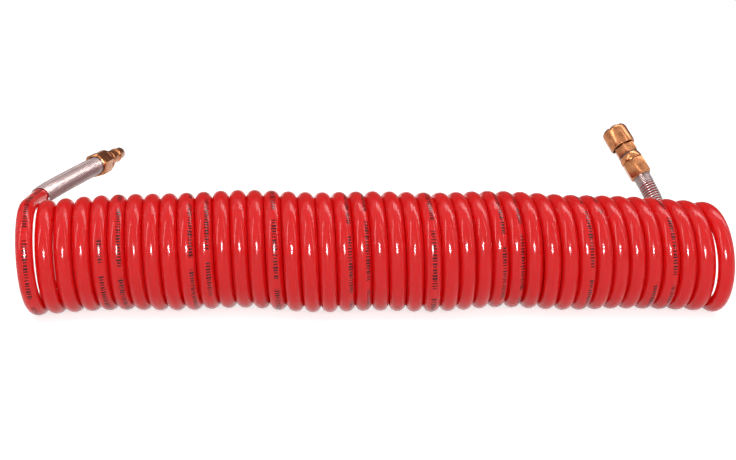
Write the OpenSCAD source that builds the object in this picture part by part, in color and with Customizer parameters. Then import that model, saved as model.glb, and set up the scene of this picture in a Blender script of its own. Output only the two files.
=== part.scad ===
// Coiled air hose with a quick plug on one end and a quick coupler on the other.
// Millimetres. +X runs along the coil from the plug end to the coupler end, +Z is up.
// The origin is on the floor under the lowest run of the middle turn.

/* [Hose] */
// Outside diameter of the hose
hose_d = 12; // [11:0.5:13]
// Bore of the hose
hose_bore = 8; // [7:0.5:8.5]

/* [Coil] */
// Number of whole turns; the coil has half a turn more
full_turns = 40; // [10:1:40]
// Outside diameter of the coil at its middle
coil_d = 90; // [70:1:110]
// How much smaller the turn radius is at the coil's ends
end_taper = 3.4; // [0:0.2:4]
// Free space between neighbouring turns near the coil's ends
turn_gap = 0.3; // [0.2:0.05:3]
// How much longer the coil is because its middle turns stand a little apart
open_middle = 8; // [0:1:30]
// Extra length in the last two turns, which stand apart
end_spread = 2.5; // [0:0.5:8]
// How far the coupler end of the coil lies behind its middle
sweep_back = 9; // [0:1:20]
// How far the first turn stands forward of its neighbours
plug_end_forward = 16; // [0:1:20]
// How far the last turn stands forward of its neighbours
coupler_end_forward = 14; // [0:1:20]
// How far the turns stray to either side, in a long wave along the coil
long_wave = 4.4; // [0:0.1:6]
// How far the turns stray to either side, in a short wave along the coil
short_wave = 3.5; // [0:0.1:4]
// How far the first turn opens upwards where the plug's tail leaves it
plug_lift = 3; // [0:1:14]

/* [Plug end] */
// Place of the plug's nut along the coil
plug_x = -229; // [-235:1:-223]
// Place of the plug's nut behind the coil's axis
plug_y = 118; // [111:1:125]
// Height of the plug's nut over the floor
plug_z = 89; // [80:1:96]
// Direction of the plug seen from above, from +X towards +Y
plug_azimuth = 73; // [60:1:80]
// Direction of the plug, from straight up
plug_tilt = 85; // [75:1:90]

/* [Coupler end] */
// Place of the coupler's nut along the coil
coupler_x = 236; // [229:1:243]
// Place of the coupler's nut behind the coil's axis
coupler_y = 137; // [130:1:144]
// Height of the coupler's nut over the floor
coupler_z = 80; // [75:1:85]
// Direction of the coupler seen from above, from +X towards +Y
coupler_azimuth = 128; // [121:1:135]
// Direction of the coupler, from straight up
coupler_tilt = 42; // [36:1:48]

/* [Spring guards] */
// Length of each spring guard
guard_len = 105; // [80:1:108]
// Turns of wire in each spring guard
guard_turns = 29; // [20:1:29]
// Height of the guard's wire over the hose
guard_wire = 1.35; // [1:0.05:1.5]

/* [Union nuts] */
// Width of the nuts across their flats
nut_af = 18; // [17:0.5:21]
// Length of each nut
nut_len = 16; // [15:0.5:20]
// Depth of the pocket that holds the end of the guard
guard_pocket = 4; // [3:0.5:5]
// Thickness of the nut's inner shoulder behind the pocket
nut_shoulder = 3.5; // [2.5:0.5:4]
// Length of thread in the nut that the fitting fills
thread_len = 3.5; // [3:0.5:4]

/* [Quick plug] */
// Length of the plug's collar
plug_collar_len = 4; // [3:0.5:6]
// Diameter of the plug's collar
plug_collar_d = 18.4; // [16:0.2:19]
// Diameter of the plug's neck
neck_d = 10; // [9.6:0.2:11]
// Length of the plug's neck
neck_len = 7; // [6:0.5:10]
// Length of the shank between the neck and the ball groove
shank_len = 6; // [5:0.2:8]
// Diameter of the plug's shank and locking rib
shank_d = 11.9; // [11.6:0.1:12.2]
// Diameter at the bottom of the ball groove
groove_d = 9.5; // [9.2:0.1:9.6]
// Length of the flat bottom of the ball groove
groove_len = 3; // [2.6:0.1:3.4]
// Length of the locking rib
rib_len = 1.4; // [1:0.2:2]
// Diameter of the plug's nose
nose_d = 9.9; // [9.7:0.1:10.1]
// Length of the plug's nose
nose_len = 8.4; // [8:0.2:9]
// Bore through the plug and through the coupler's adapter
flow_bore = 5.8; // [5:0.2:6.4]

/* [Coupler] */
// Length of the adapter's collar
collar_len = 6; // [4:0.5:8]
// Diameter of the adapter's collar
collar_d = 19.2; // [17:0.2:20]
// Thickness of the sealing washer
washer_t = 1; // [0.8:0.1:1.5]
// Width of the body's hexagon across its flats
body_af = 17; // [17:0.5:17]
// Length of the body's hexagon
hex_len = 10; // [8:0.5:11]
// Diameter of the body's barrel
barrel_d = 16; // [15.8:0.1:16.4]
// Distance from the body's back face to the lock balls
ball_pos = 19.5; // [19:0.5:21]
// Diameter of the lock balls
ball_d = 3.2; // [3.2:0.1:3.4]
// Number of lock balls
ball_count = 6;
// Length of the body in front of the lock balls
muzzle_len = 8.7; // [8.7:0.1:10]
// Outside diameter of the release sleeve
sleeve_d = 22.5; // [21.4:0.1:23]
// Travel of the release sleeve
sleeve_travel = 4; // [4:0.5:4]
// Travel of the lock balls out of the socket
ball_travel = 1.2; // [1.2:0.1:1.2]
// Thickness of the retaining ring
ring_t = 1; // [0.8:0.1:1.2]
// Diameter of the valve chamber
chamber_d = 12.6; // [12.4:0.1:12.8]
// Thickness of the seal that grips the plug's nose
nose_seal_len = 2.8; // [2.4:0.2:3]

/* [Hidden] */

$fn = 48;
red = [0.80, 0.09, 0.11];
brass = [0.80, 0.48, 0.24];
zinc = [0.72, 0.71, 0.75];
steel = [0.62, 0.62, 0.64];
black = [0.10, 0.10, 0.11];

// Clearances
run_fit = 0.05;      // radial, where one piece slides on another
seat_fit = 0.05;     // along the axis, where one piece rests on another
press_gap = 0.02;    // radial, where a piece grips another
hull_fit = 0.1;      // radial, round a guard or a seal

// Coil
turns = full_turns + 0.5;
rest_turn = floor(turns / 2) + 0.5;
mid_radius = (coil_d - hose_d) / 2;
pitch = hose_d + turn_gap;
spread_turns = 2;                        // turns that end_spread draws apart
loose_turns = 4;                         // turns at each end that stand forward
wave_size = [long_wave, short_wave];
wave_turns = [17.6, 7.6];                // length of each wave in turns
wave_start = [227, 218];                 // where each wave starts, in degrees
coil_rings = 12;
half_step = 180 / coil_rings;
even_length = (PI / coil_rings) / sin(half_step);
tube_trim = 0.25;                        // the tube's sides stand this far inside its true circle
tube_h = hose_d / 2 - 0.2;               // half height of the tube's six-sided section
tube_w = hose_d / 2 - tube_trim;         // half width of that section
tube_flat = 3.4 / 12 * hose_d;           // half width of its flat top and bottom
tube_section = [[tube_w, 0], [tube_flat, tube_h], [-tube_flat, tube_h],
                [-tube_w, 0], [-tube_flat, -tube_h], [tube_flat, -tube_h]];

// Tails: each is one curve that leaves the coil square and meets its nut square
tail_sides = 10;
tail_steps = 15;
tail_r = hose_d / 2 - 0.3;
plug_lead = [45, 40];                    // pull of the curve at the coil and at the nut
coupler_lead = [70, 58];

// Spring guards
guard_rings = 8;
guard_in = (tail_r + run_fit) / cos(180 / guard_rings);
guard_out = hose_d / 2 + 0.25 + guard_wire;
guard_pitch = guard_len / guard_turns;
guard_wire_gap = 0.8;
guard_wire_w = guard_pitch - guard_wire_gap;

// Nut, stem and clamp ring, measured from the nut's back face
hose_end = nut_len - thread_len;
hose_in_nut = guard_pocket;
stem_start = guard_pocket + 0.5;
thread_r = hose_d / 2 + 1.15;
ring_start = guard_pocket + nut_shoulder + seat_fit;
ring_end = hose_end - seat_fit;
hex_turn = 12;                           // angle of a hexagon's first corner
nut_chamfer = 1.2;
barb_count = 2;
barb_pitch = 1.8;
barb_rise = 1.4;                         // length of each barb's slope
barb_drop = 0.2;                         // length of its steep back
barb_depth = 0.35;
stem_tip = 0.5;                          // how much thinner the stem's tip is

// Quick plug
plug_flank = (shank_d - groove_d) / 2;
plug_nose_step = (shank_d - nose_d) / 2;
plug_neck_start = nut_len + plug_collar_len;
plug_shank_start = plug_neck_start + neck_len;
groove_start = plug_shank_start + shank_len;
rib_start = groove_start + 2 * plug_flank + groove_len;
nose_start = rib_start + rib_len + plug_nose_step;
plug_end = nose_start + nose_len;
groove_to_tip = plug_end - (groove_start + plug_flank + groove_len / 2);
plug_chamfer = 1;                        // on the collar and on the tip

// Coupler, measured from its nut's back face
collar_end = nut_len + collar_len;
body_start = collar_end + washer_t;
hex_end = body_start + hex_len;
ball_z = body_start + ball_pos;
body_end = ball_z + muzzle_len;
socket_r = shank_d / 2 + 0.1;
mouth_r = shank_d / 2 + 0.55;            // wider mouth in front of the balls
mouth_start = ball_z + ball_d / 2 + 0.4;
mouth_chamfer = 0.6;
collar_rim = 2.5;                        // straight part of the adapter's collar
collar_fall = 0.8;                       // how much thinner the collar's front is
nose_bore_r = nose_d / 2 + 0.1;
chamber_r = chamber_d / 2;
chamber_start = collar_end - 2;
spigot_r = chamber_r + 1.3;
spigot_end = body_start + 5;
tip_z = ball_z - groove_to_tip;          // where a locked plug's nose ends
poppet_front = tip_z + sleeve_travel;
seal_start = poppet_front + 0.7;
seal_end = seal_start + nose_seal_len + 2 * seat_fit;
land_start = seal_start - 2;
seat_start = land_start - 2;
poppet_head = seat_start - 0.2;
poppet_skirt = 5.2;
poppet_r = chamber_r - 0.1;
poppet_flat = 0.45;                      // depth of its four flats
cup_r = poppet_r - 0.9;
cup_floor = 2;
stem_r = 4.35;
air_hole_r = 0.8;
air_hole_z = poppet_head + 1.9;
flats_turn = 20;                         // angle of the first flat and air hole
valve_seal_r = 0.6;
ball_r = ball_d / 2;
ball_orbit = barrel_d / 2 - ball_r;      // balls end flush with the barrel while locked
ball_ratio = ball_travel / sleeve_travel;
ball_cone = ball_r * (sqrt(1 + ball_ratio * ball_ratio) - 1) + 0.03;
land_r = barrel_d / 2 + run_fit;
skirt_r = body_af / 2 / cos(30) + 0.2;
sleeve_start = hex_end - 1.3;
sleeve_land = ball_z - 1.8;
recess_r = land_r + ball_cone + ball_travel;
recess_end = ball_z + sleeve_travel + ball_r + 0.1;
sleeve_end = body_end - 1.5;
sleeve_chamfer = 0.5;
// Corners of the sleeve's rounded front: how far in from its outside and back from its end
sleeve_nose = [[0, 3.2], [0.2, 2], [0.7, 0.8], [1.4, 0]];
ring_groove = sleeve_end + 0.05;
ring_groove_r = barrel_d / 2 - 0.6;
ring_r = barrel_d / 2 + 0.9;
sleeve_spring_r = [barrel_d / 2 + 0.2, skirt_r - 0.3];
valve_spring_r = [cup_r - 1.2, cup_r - 0.1];

// ---------------------------------------------------------------- coil

// Place along the coil, from -1 at the plug end to 1 at the coupler end
function along(a) = (a / 360 - turns / 2) / (turns / 2);
function from_rest(a) = (a / 360 - rest_turn) / (turns / 2);
function coil_x(a) =
    pitch * (a / 360 - rest_turn)
    + open_middle / 2 * (1.5 * from_rest(a) - 0.5 * pow(from_rest(a), 3))
    + end_spread * pow(max(0, a / 360 - turns + spread_turns) / spread_turns, 1.5);
function coil_radius(a) = mid_radius - end_taper * pow(along(a), 2);
function coil_back(a) = sweep_back / 2 * pow(along(a), 2) * (1 + along(a));

// Level directions along the coil's axis and across it, and how far a turn strays across
function heading(a) =
    unit([coil_x(a + 90) - coil_x(a - 90), coil_back(a + 90) - coil_back(a - 90), 0]);
function across(a) = [-heading(a)[1], heading(a)[0], 0];
function wave(a, i) = wave_size[i] * sin(a / wave_turns[i] + wave_start[i]);
function loose(turn) = pow(max(0, 1 - turn / loose_turns), 2);
function stray(a) =
    (1 - pow(along(a), 4)) * (wave(a, 0) + wave(a, 1))
    - plug_end_forward * loose(a / 360) - coupler_end_forward * loose(turns - a / 360);
function axis_point(a) = [coil_x(a), coil_back(a) + stray(a), axis_height(a)];
function opening(a) = plug_lift * pow(min(1, max(0, 90 - a) / (90 - half_step)), 2);
function ring_radius(a) = even_length * coil_radius(a) + opening(a);
function axis_height(a) = even_length * coil_radius(a) * cos(half_step) + tube_h;

// Centre of the tube at angle a, counted from the top of the first turn
function outward(a) = [0, 0, cos(a)] - sin(a) * across(a);
function coil_centre(a) = axis_point(a) + ring_radius(a) * outward(a);

// One six-sided ring of the tube, in the plane that mitres two straight runs
function coil_ring(a) =
    [for (p = tube_section)
     coil_centre(a) + p[0] * heading(a) + p[1] / cos(half_step) * outward(a)];

// A ring on the straight run past the first or last bend, square to the hose
function end_centre(a, top) =
    axis_point(a) + hose_d * across(a) + [0, 0, top * ring_radius(a) * cos(half_step)];
function end_ring(a, top) =
    [for (p = tube_section) end_centre(a, top) + p[0] * heading(a) + [0, 0, top * p[1]]];

first_angle = half_step;
last_angle = 360 * turns - half_step;
coil_angles = [for (i = [0 : coil_rings * turns - 1]) first_angle + 2 * half_step * i];
coil_rings_all = concat([end_ring(first_angle, 1)],
                        [for (a = coil_angles) coil_ring(a)],
                        [end_ring(last_angle, -1)]);

// Least distance between a tube's points and those of its next turn, n rings on
function least_gap(rings, n) =
    min([for (i = [1 : len(rings) - n - 2])
         min([for (j = [i + n - 1 : i + n + 1])
              min([for (p = rings[i]) min([for (q = rings[j]) norm(p - q)])])])]);

// ---------------------------------------------------------------- swept tubes

// Closed tube through rings that all have the same number of points
module swept(rings) {
    n = len(rings[0]);
    m = len(rings);
    points = [for (r = rings) each r];
    sides = [for (i = [0 : m - 2], j = [0 : n - 1])
             let (a = i * n + j, b = i * n + (j + 1) % n, c = a + n, d = b + n)
             each [[a, c, b], [b, c, d]]];
    start = [for (j = [1 : n - 2]) [0, j, j + 1]];
    end = [for (j = [1 : n - 2]) [(m - 1) * n, (m - 1) * n + j + 1, (m - 1) * n + j]];
    polyhedron(points = points, faces = concat(sides, start, end), convexity = 20);
}

function unit(v) = v / norm(v);
function direction(tilt, azimuth) =
    [sin(tilt) * cos(azimuth), sin(tilt) * sin(azimuth), cos(tilt)];
function side_of(t) = unit([1, 0, 0] - t[0] * t);
function up_of(t) = cross(t, side_of(t));

// Points of a cubic curve from p to q, pulled along the directions u and v
function curve_at(p, u, v, q, k) =
    pow(1 - k, 3) * p + 3 * k * pow(1 - k, 2) * u + 3 * k * k * (1 - k) * v + pow(k, 3) * q;
function tail_points(start, first_way, lead, nut, way) =
    concat([for (i = [0 : tail_steps])
            curve_at(start, start + lead[0] * first_way, nut - lead[1] * way, nut,
                     i / tail_steps)],
           [nut + hose_in_nut * way]);
function tangents(points, first_way, way) =
    let (n = len(points))
    [for (i = [0 : n - 1])
     i == 0 ? first_way : i > n - 3 ? way : unit(points[i + 1] - points[i - 1])];
function lengths(points) =
    [for (i = 0, s = 0; i < len(points);
          s = s + (i + 1 < len(points) ? norm(points[i + 1] - points[i]) : 0), i = i + 1) s];

plug_way = direction(plug_tilt, plug_azimuth);
coupler_way = direction(coupler_tilt, coupler_azimuth);
plug_nut_at = [plug_x, plug_y, plug_z];
coupler_nut_at = [coupler_x, coupler_y, coupler_z];
plug_route = tail_points(end_centre(first_angle, 1), across(first_angle), plug_lead,
                         plug_nut_at, plug_way);
coupler_route = tail_points(end_centre(last_angle, -1), across(last_angle), coupler_lead,
                            coupler_nut_at, coupler_way);
plug_tangents = tangents(plug_route, across(first_angle), plug_way);
coupler_tangents = tangents(coupler_route, across(last_angle), coupler_way);

// Rings of a tail, kept above the floor
function tail_rings(points, ways) =
    [for (i = [0 : len(points) - 1])
     [for (j = [0 : tail_sides - 1])
      let (b = 360 * j / tail_sides,
           p = points[i] + tail_r * (cos(b) * side_of(ways[i]) + sin(b) * up_of(ways[i])))
      [p[0], p[1], max(p[2], 0)]]];

// Where the arc length s falls in a list of running lengths
function span_of(s, runs) =
    min(len(runs) - 2, max([for (i = [0 : len(runs) - 2]) if (runs[i] <= s) i]));

// Rings of a guard's wire: its flat side lies on the hose and its ridge faces out
function guard_ring(s, b, points, ways, runs) =
    let (i = span_of(s, runs),
         k = (s - runs[i]) / (runs[i + 1] - runs[i]),
         c = points[i] + k * (points[i + 1] - points[i]),
         t = unit((1 - k) * ways[i] + k * ways[i + 1]),
         out = cos(b) * side_of(t) + sin(b) * up_of(t))
    [c + guard_in * out - guard_wire_w / 2 * t,
     c + guard_in * out + guard_wire_w / 2 * t,
     c + guard_out * out];
function guard_coil(points, ways) =
    let (runs = lengths(points),
         last = runs[len(runs) - 1] - seat_fit - guard_wire_w / 2,
         first = last - guard_len + guard_wire_w,
         n = guard_turns * guard_rings)
    [for (i = [0 : n])
     guard_ring(first + (last - first) * i / n, 360 * i / guard_rings, points, ways, runs)];

plug_guard_rings = guard_coil(plug_route, plug_tangents);
coupler_guard_rings = guard_coil(coupler_route, coupler_tangents);

// ---------------------------------------------------------------- placing

// Turns a piece modelled along +Z from the nut's back face into its place
module at_plug_end() {
    translate(plug_nut_at) rotate([0, plug_tilt, plug_azimuth]) children();
}

module at_coupler_end() {
    translate(coupler_nut_at) rotate([0, coupler_tilt, coupler_azimuth]) children();
}

// Solid of revolution from a list of [radius, height] points
module turned(outline) {
    rotate_extrude() polygon(outline);
}

// Hollow cylinder
module pipe(inner, outer, from, to) {
    translate([0, 0, from]) difference() {
        cylinder(r = outer, h = to - from);
        translate([0, 0, -1]) cylinder(r = inner, h = to - from + 2);
    }
}

// Hexagonal bar with its corners turned off at both ends
module hex_bar(af, from, to, chamfer) {
    corner = af / 2 / cos(30);
    intersection() {
        translate([0, 0, from]) rotate([0, 0, hex_turn])
            cylinder(r = corner, h = to - from, $fn = 6);
        turned([[0, from], [corner - chamfer, from], [corner + 0.01, from + chamfer],
                [corner + 0.01, to - chamfer], [corner - chamfer, to], [0, to]]);
    }
}

// ---------------------------------------------------------------- hose

module hose_coil() {
    color(red) swept(coil_rings_all);
}

// Free stretch of hose, and its last part, whose bore takes the fitting's stem
module hose_tail_plug_end() {
    color(red) swept(tail_rings(plug_route, plug_tangents));
    color(red) at_plug_end() gripped_hose();
}

module hose_tail_coupler_end() {
    color(red) swept(tail_rings(coupler_route, coupler_tangents));
    color(red) at_coupler_end() gripped_hose();
}

module gripped_hose() {
    difference() {
        translate([0, 0, hose_in_nut]) cylinder(d = hose_d, h = hose_end - hose_in_nut);
        translate([0, 0, hose_in_nut + 0.3]) cylinder(d = hose_bore, h = hose_end);
    }
}

// ---------------------------------------------------------------- guards and nuts

module plug_spring_guard() {
    color(zinc) swept(plug_guard_rings);
}

module coupler_spring_guard() {
    color(zinc) swept(coupler_guard_rings);
}

module union_nut() {
    difference() {
        hex_bar(nut_af, 0, nut_len, nut_chamfer);
        translate([0, 0, -1]) cylinder(r = guard_out + run_fit, h = guard_pocket + 1);
        cylinder(d = hose_d + 2 * hull_fit, h = nut_len);
        translate([0, 0, guard_pocket + nut_shoulder])
            cylinder(r = thread_r + run_fit, h = nut_len);
    }
}

module plug_union_nut() {
    color(brass) at_plug_end() union_nut();
}

module coupler_union_nut() {
    color(brass) at_coupler_end() union_nut();
}

// Split brass ring that the nut presses on the hose over the stem
module clamp_ring() {
    r = hose_d / 2 + press_gap;
    turned([[r, ring_start], [thread_r - 0.5, ring_start], [thread_r, ring_start + 1],
            [thread_r, ring_end - 1], [thread_r - 0.5, ring_end], [r, ring_end]]);
}

module plug_clamp_ring() {
    color(brass) at_plug_end() clamp_ring();
}

module coupler_clamp_ring() {
    color(brass) at_coupler_end() clamp_ring();
}

// Outline of a stem with barbs, up to the thread that the nut turns on
function stem_outline() =
    let (r = hose_bore / 2 - press_gap)
    concat([[flow_bore / 2, stem_start], [r - stem_tip, stem_start]],
           [for (k = [0 : barb_count - 1])
            let (top = stem_start + barb_rise + k * barb_pitch)
            each [[r, top], [r - barb_depth, top + barb_drop]]],
           [[r, stem_start + barb_rise + barb_count * barb_pitch], [r, hose_end],
            [thread_r, hose_end], [thread_r, nut_len]]);

module quick_plug() {
    color(brass) at_plug_end() turned(concat(stem_outline(), [
        [plug_collar_d / 2, nut_len],
        [plug_collar_d / 2, plug_neck_start - plug_chamfer],
        [plug_collar_d / 2 - plug_chamfer, plug_neck_start],
        [neck_d / 2, plug_neck_start],
        [neck_d / 2, plug_shank_start - (shank_d - neck_d) / 2],
        [shank_d / 2, plug_shank_start],
        [shank_d / 2, groove_start],
        [groove_d / 2, groove_start + plug_flank],
        [groove_d / 2, rib_start - plug_flank],
        [shank_d / 2, rib_start],
        [shank_d / 2, rib_start + rib_len],
        [nose_d / 2, nose_start],
        [nose_d / 2, plug_end - plug_chamfer],
        [nose_d / 2 - plug_chamfer, plug_end],
        [flow_bore / 2, plug_end]]));
}

// ---------------------------------------------------------------- coupler

module coupler_adapter() {
    color(brass) at_coupler_end() turned(concat(stem_outline(), [
        [collar_d / 2, nut_len],
        [collar_d / 2, nut_len + collar_rim],
        [collar_d / 2 - collar_fall, collar_end],
        [spigot_r, collar_end],
        [spigot_r, spigot_end],
        [chamber_r, spigot_end],
        [chamber_r, chamber_start],
        [flow_bore / 2, chamber_start]]));
}

module sealing_washer() {
    color(black) at_coupler_end()
        pipe(spigot_r + run_fit, body_af / 2 - 0.1, collar_end, body_start);
}

// Barrel with the hexagon, the valve seat, the seal groove and the ball holes
module coupler_body() {
    color(brass) at_coupler_end() difference() {
        union() {
            hex_bar(body_af, body_start, hex_end, 0.4);
            translate([0, 0, body_start]) cylinder(d = barrel_d, h = body_end - body_start);
        }
        translate([0, 0, body_start - 1])
            cylinder(r = spigot_r + run_fit, h = spigot_end - body_start + 1 + seat_fit);
        translate([0, 0, body_start]) cylinder(r = chamber_r, h = seat_start - body_start);
        translate([0, 0, seat_start])
            cylinder(r1 = chamber_r, r2 = nose_bore_r, h = land_start - seat_start);
        translate([0, 0, seat_start]) cylinder(r = nose_bore_r, h = seal_start - seat_start + 1);
        translate([0, 0, seal_start]) cylinder(r = seal_groove_r, h = seal_end - seal_start);
        translate([0, 0, seal_start]) cylinder(r = socket_r, h = body_end);
        translate([0, 0, mouth_start]) cylinder(r = mouth_r, h = body_end);
        translate([0, 0, body_end - mouth_chamfer])
            cylinder(r1 = mouth_r, r2 = mouth_r + mouth_chamfer + 0.1, h = mouth_chamfer + 0.1);
        pipe(ring_groove_r, barrel_d, ring_groove, ring_groove + ring_t + 2 * seat_fit);
        for (k = [1 : ball_count]) ball_hole(k);
    }
}

seal_groove_r = barrel_d / 2 - 1;

// A hole that narrows a little inwards, so that its ball can't drop into the socket
module ball_hole(k) {
    translate([0, 0, ball_z]) rotate([0, 90, ball_angle(k)]) translate([0, 0, ball_orbit]) {
        translate([0, 0, 0.1]) cylinder(r = ball_r + run_fit, h = barrel_d);
        translate([0, 0, -1]) cylinder(r1 = ball_r - 0.115, r2 = ball_r + run_fit, h = 1.1);
    }
}

module nose_seal() {
    r = nose_d / 2 - 0.15;
    a = seal_start + seat_fit;
    b = seal_end - seat_fit;
    color(black) at_coupler_end()
        turned([[r + 0.5, a], [seal_groove_r - press_gap, a], [seal_groove_r - press_gap, b],
                [r + 0.9, b], [r, b - 0.9], [r, a + 0.5]]);
}

// Cup with four flats for the air, a stem that the plug pushes, and air slots in the stem
module valve_poppet() {
    color(brass) at_coupler_end() difference() {
        union() {
            translate([0, 0, poppet_head - poppet_skirt]) cylinder(r = poppet_r, h = poppet_skirt);
            translate([0, 0, poppet_head - 0.5])
                cylinder(r = stem_r, h = poppet_front - poppet_head + 0.5);
        }
        translate([0, 0, poppet_head - poppet_skirt - 1])
            cylinder(r = cup_r, h = poppet_skirt - cup_floor + 1);
        for (k = [0 : 3])
            rotate([0, 0, 90 * k + flats_turn])
                translate([poppet_r - poppet_flat, -poppet_r, poppet_head - poppet_skirt - 1])
                    cube([2, 2 * poppet_r, poppet_skirt + 2]);
        translate([0, 0, poppet_head + 1]) cylinder(r = flow_bore / 2, h = poppet_front);
        for (k = [0 : 1])
            translate([0, 0, air_hole_z]) rotate([0, 90, 90 * k + flats_turn])
                translate([0, 0, -stem_r - 1]) cylinder(r = air_hole_r, h = 2 * stem_r + 2);
    }
}

module valve_seal() {
    color(black) at_coupler_end() translate([0, 0, poppet_head + valve_seal_r + press_gap])
        rotate_extrude() translate([stem_r + valve_seal_r + press_gap, 0])
            circle(r = valve_seal_r, $fn = 32);
}

module valve_spring() {
    color(steel) at_coupler_end()
        pipe(valve_spring_r[0], valve_spring_r[1],
             chamber_start + seat_fit, poppet_head - cup_floor - seat_fit);
}

// Sleeve: a skirt over the hexagon, a land that holds the balls in, and a recess that frees them
module release_sleeve() {
    outer = sleeve_d / 2;
    cone_r = land_r + ball_cone;
    color(brass) at_coupler_end() turned(concat(
        [[skirt_r, sleeve_start],
         [outer - sleeve_chamfer, sleeve_start],
         [outer, sleeve_start + sleeve_chamfer]],
        [for (n = sleeve_nose) [outer - n[0], sleeve_end - n[1]]],
        [[land_r, sleeve_end],
         [land_r, recess_end],
         [recess_r, recess_end],
         [recess_r, ball_z + sleeve_travel],
         [cone_r, ball_z],
         [land_r, ball_z],
         [land_r, sleeve_land],
         [skirt_r, sleeve_land]]));
}

module sleeve_spring() {
    color(steel) at_coupler_end()
        pipe(sleeve_spring_r[0], sleeve_spring_r[1], hex_end + seat_fit, sleeve_land - seat_fit);
}

module retaining_ring() {
    color(steel) at_coupler_end() difference() {
        pipe(ring_groove_r + run_fit, ring_r, ring_groove + seat_fit,
             ring_groove + seat_fit + ring_t);
        rotate([0, 0, 200]) translate([0, -1.5, ring_groove - 1]) cube([ring_r + 1, 3, ring_t + 3]);
    }
}

function ball_angle(k) = 360 * (k - 1) / ball_count;

module lock_ball(k) {
    color(steel) at_coupler_end() rotate([0, 0, ball_angle(k)])
        translate([ball_orbit, 0, ball_z]) sphere(r = ball_r);
}

module lock_ball_1() { lock_ball(1); }
module lock_ball_2() { lock_ball(2); }
module lock_ball_3() { lock_ball(3); }
module lock_ball_4() { lock_ball(4); }
module lock_ball_5() { lock_ball(5); }
module lock_ball_6() { lock_ball(6); }

echo(coil_least_gap = least_gap(coil_rings_all, coil_rings));
echo(plug_guard_least_gap = least_gap(plug_guard_rings, guard_rings));
echo(coupler_guard_least_gap = least_gap(coupler_guard_rings, guard_rings));

hose_coil();
hose_tail_plug_end();
hose_tail_coupler_end();
plug_spring_guard();
coupler_spring_guard();
plug_union_nut();
coupler_union_nut();
plug_clamp_ring();
coupler_clamp_ring();
quick_plug();
coupler_adapter();
sealing_washer();
coupler_body();
nose_seal();
valve_poppet();
valve_seal();
valve_spring();
release_sleeve();
sleeve_spring();
retaining_ring();
lock_ball_1();
lock_ball_2();
lock_ball_3();
lock_ball_4();
lock_ball_5();
lock_ball_6();
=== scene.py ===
"""Coiled air hose with a quick plug and a sleeve-release coupler, dressed over its CAD frame."""
import logging
import math
from dataclasses import dataclass, field
from enum import Enum
from typing import Sequence

import bpy
from mathutils import Matrix, Vector


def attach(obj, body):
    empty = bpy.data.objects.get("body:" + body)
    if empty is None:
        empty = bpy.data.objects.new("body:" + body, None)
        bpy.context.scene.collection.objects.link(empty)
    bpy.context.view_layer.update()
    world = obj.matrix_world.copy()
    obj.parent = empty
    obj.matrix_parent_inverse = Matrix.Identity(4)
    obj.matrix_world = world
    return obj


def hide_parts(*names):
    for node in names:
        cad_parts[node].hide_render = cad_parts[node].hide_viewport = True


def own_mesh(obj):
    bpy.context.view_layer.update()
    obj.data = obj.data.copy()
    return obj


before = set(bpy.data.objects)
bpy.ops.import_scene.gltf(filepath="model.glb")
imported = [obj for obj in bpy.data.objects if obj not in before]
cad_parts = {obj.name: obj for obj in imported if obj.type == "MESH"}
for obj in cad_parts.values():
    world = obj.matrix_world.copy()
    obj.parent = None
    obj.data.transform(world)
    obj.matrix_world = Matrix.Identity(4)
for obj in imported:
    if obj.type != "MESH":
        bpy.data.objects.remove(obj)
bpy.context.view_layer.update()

LOG = logging.getLogger("coiled_air_hose")
Outline = Sequence[tuple[float, float]]
Colour = tuple[float, float, float]
Point = tuple[float, float, float]
Socket = bpy.types.NodeSocket
Piece = bpy.types.Object

# Heights and radii are in millimetres; heights count from the back face of a fitting's nut.
MM = 0.001
HOSE_MAP = "along_hose"
HOSE_END = 12.5         # where the hose ends inside a nut
GUARD_POCKET = 4.0      # depth of the nut's pocket for the guard
NUT_LENGTH = 16.0
THREAD_RADIUS = 7.15
HEX_START = 23.0        # lower and upper face of the body's hexagon
HEX_END = 33.0
BALL_HEIGHT = 42.5
BALL_COUNT = 6
HEX_CORNER = 12.0       # angle of a hexagon's first corner, in degrees
MERGE_REACH = 1e-7      # in metres
BEVEL_ANGLE = 25        # least angle of an edge that is rounded, in degrees
SMOOTH_ANGLE = 32       # greatest angle that is shaded smooth, in degrees


class Body(Enum):
    """Moving bodies of the frame."""

    HOSE = "hose"
    SLEEVE = "sleeve"
    POPPET = "poppet"


class Joint(Enum):
    """Joints that squeeze a spring."""

    SLEEVE = "sleeve_slide"
    POPPET = "poppet_slide"


class Slot(Enum):
    """Material slots of the record."""

    HOSE = "hose"
    ZINC_WIRE = "zinc_wire"
    BRASS = "brass"
    STEEL = "steel"
    SEAL = "seal"


# ---------------------------------------------------------------- node board


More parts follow.
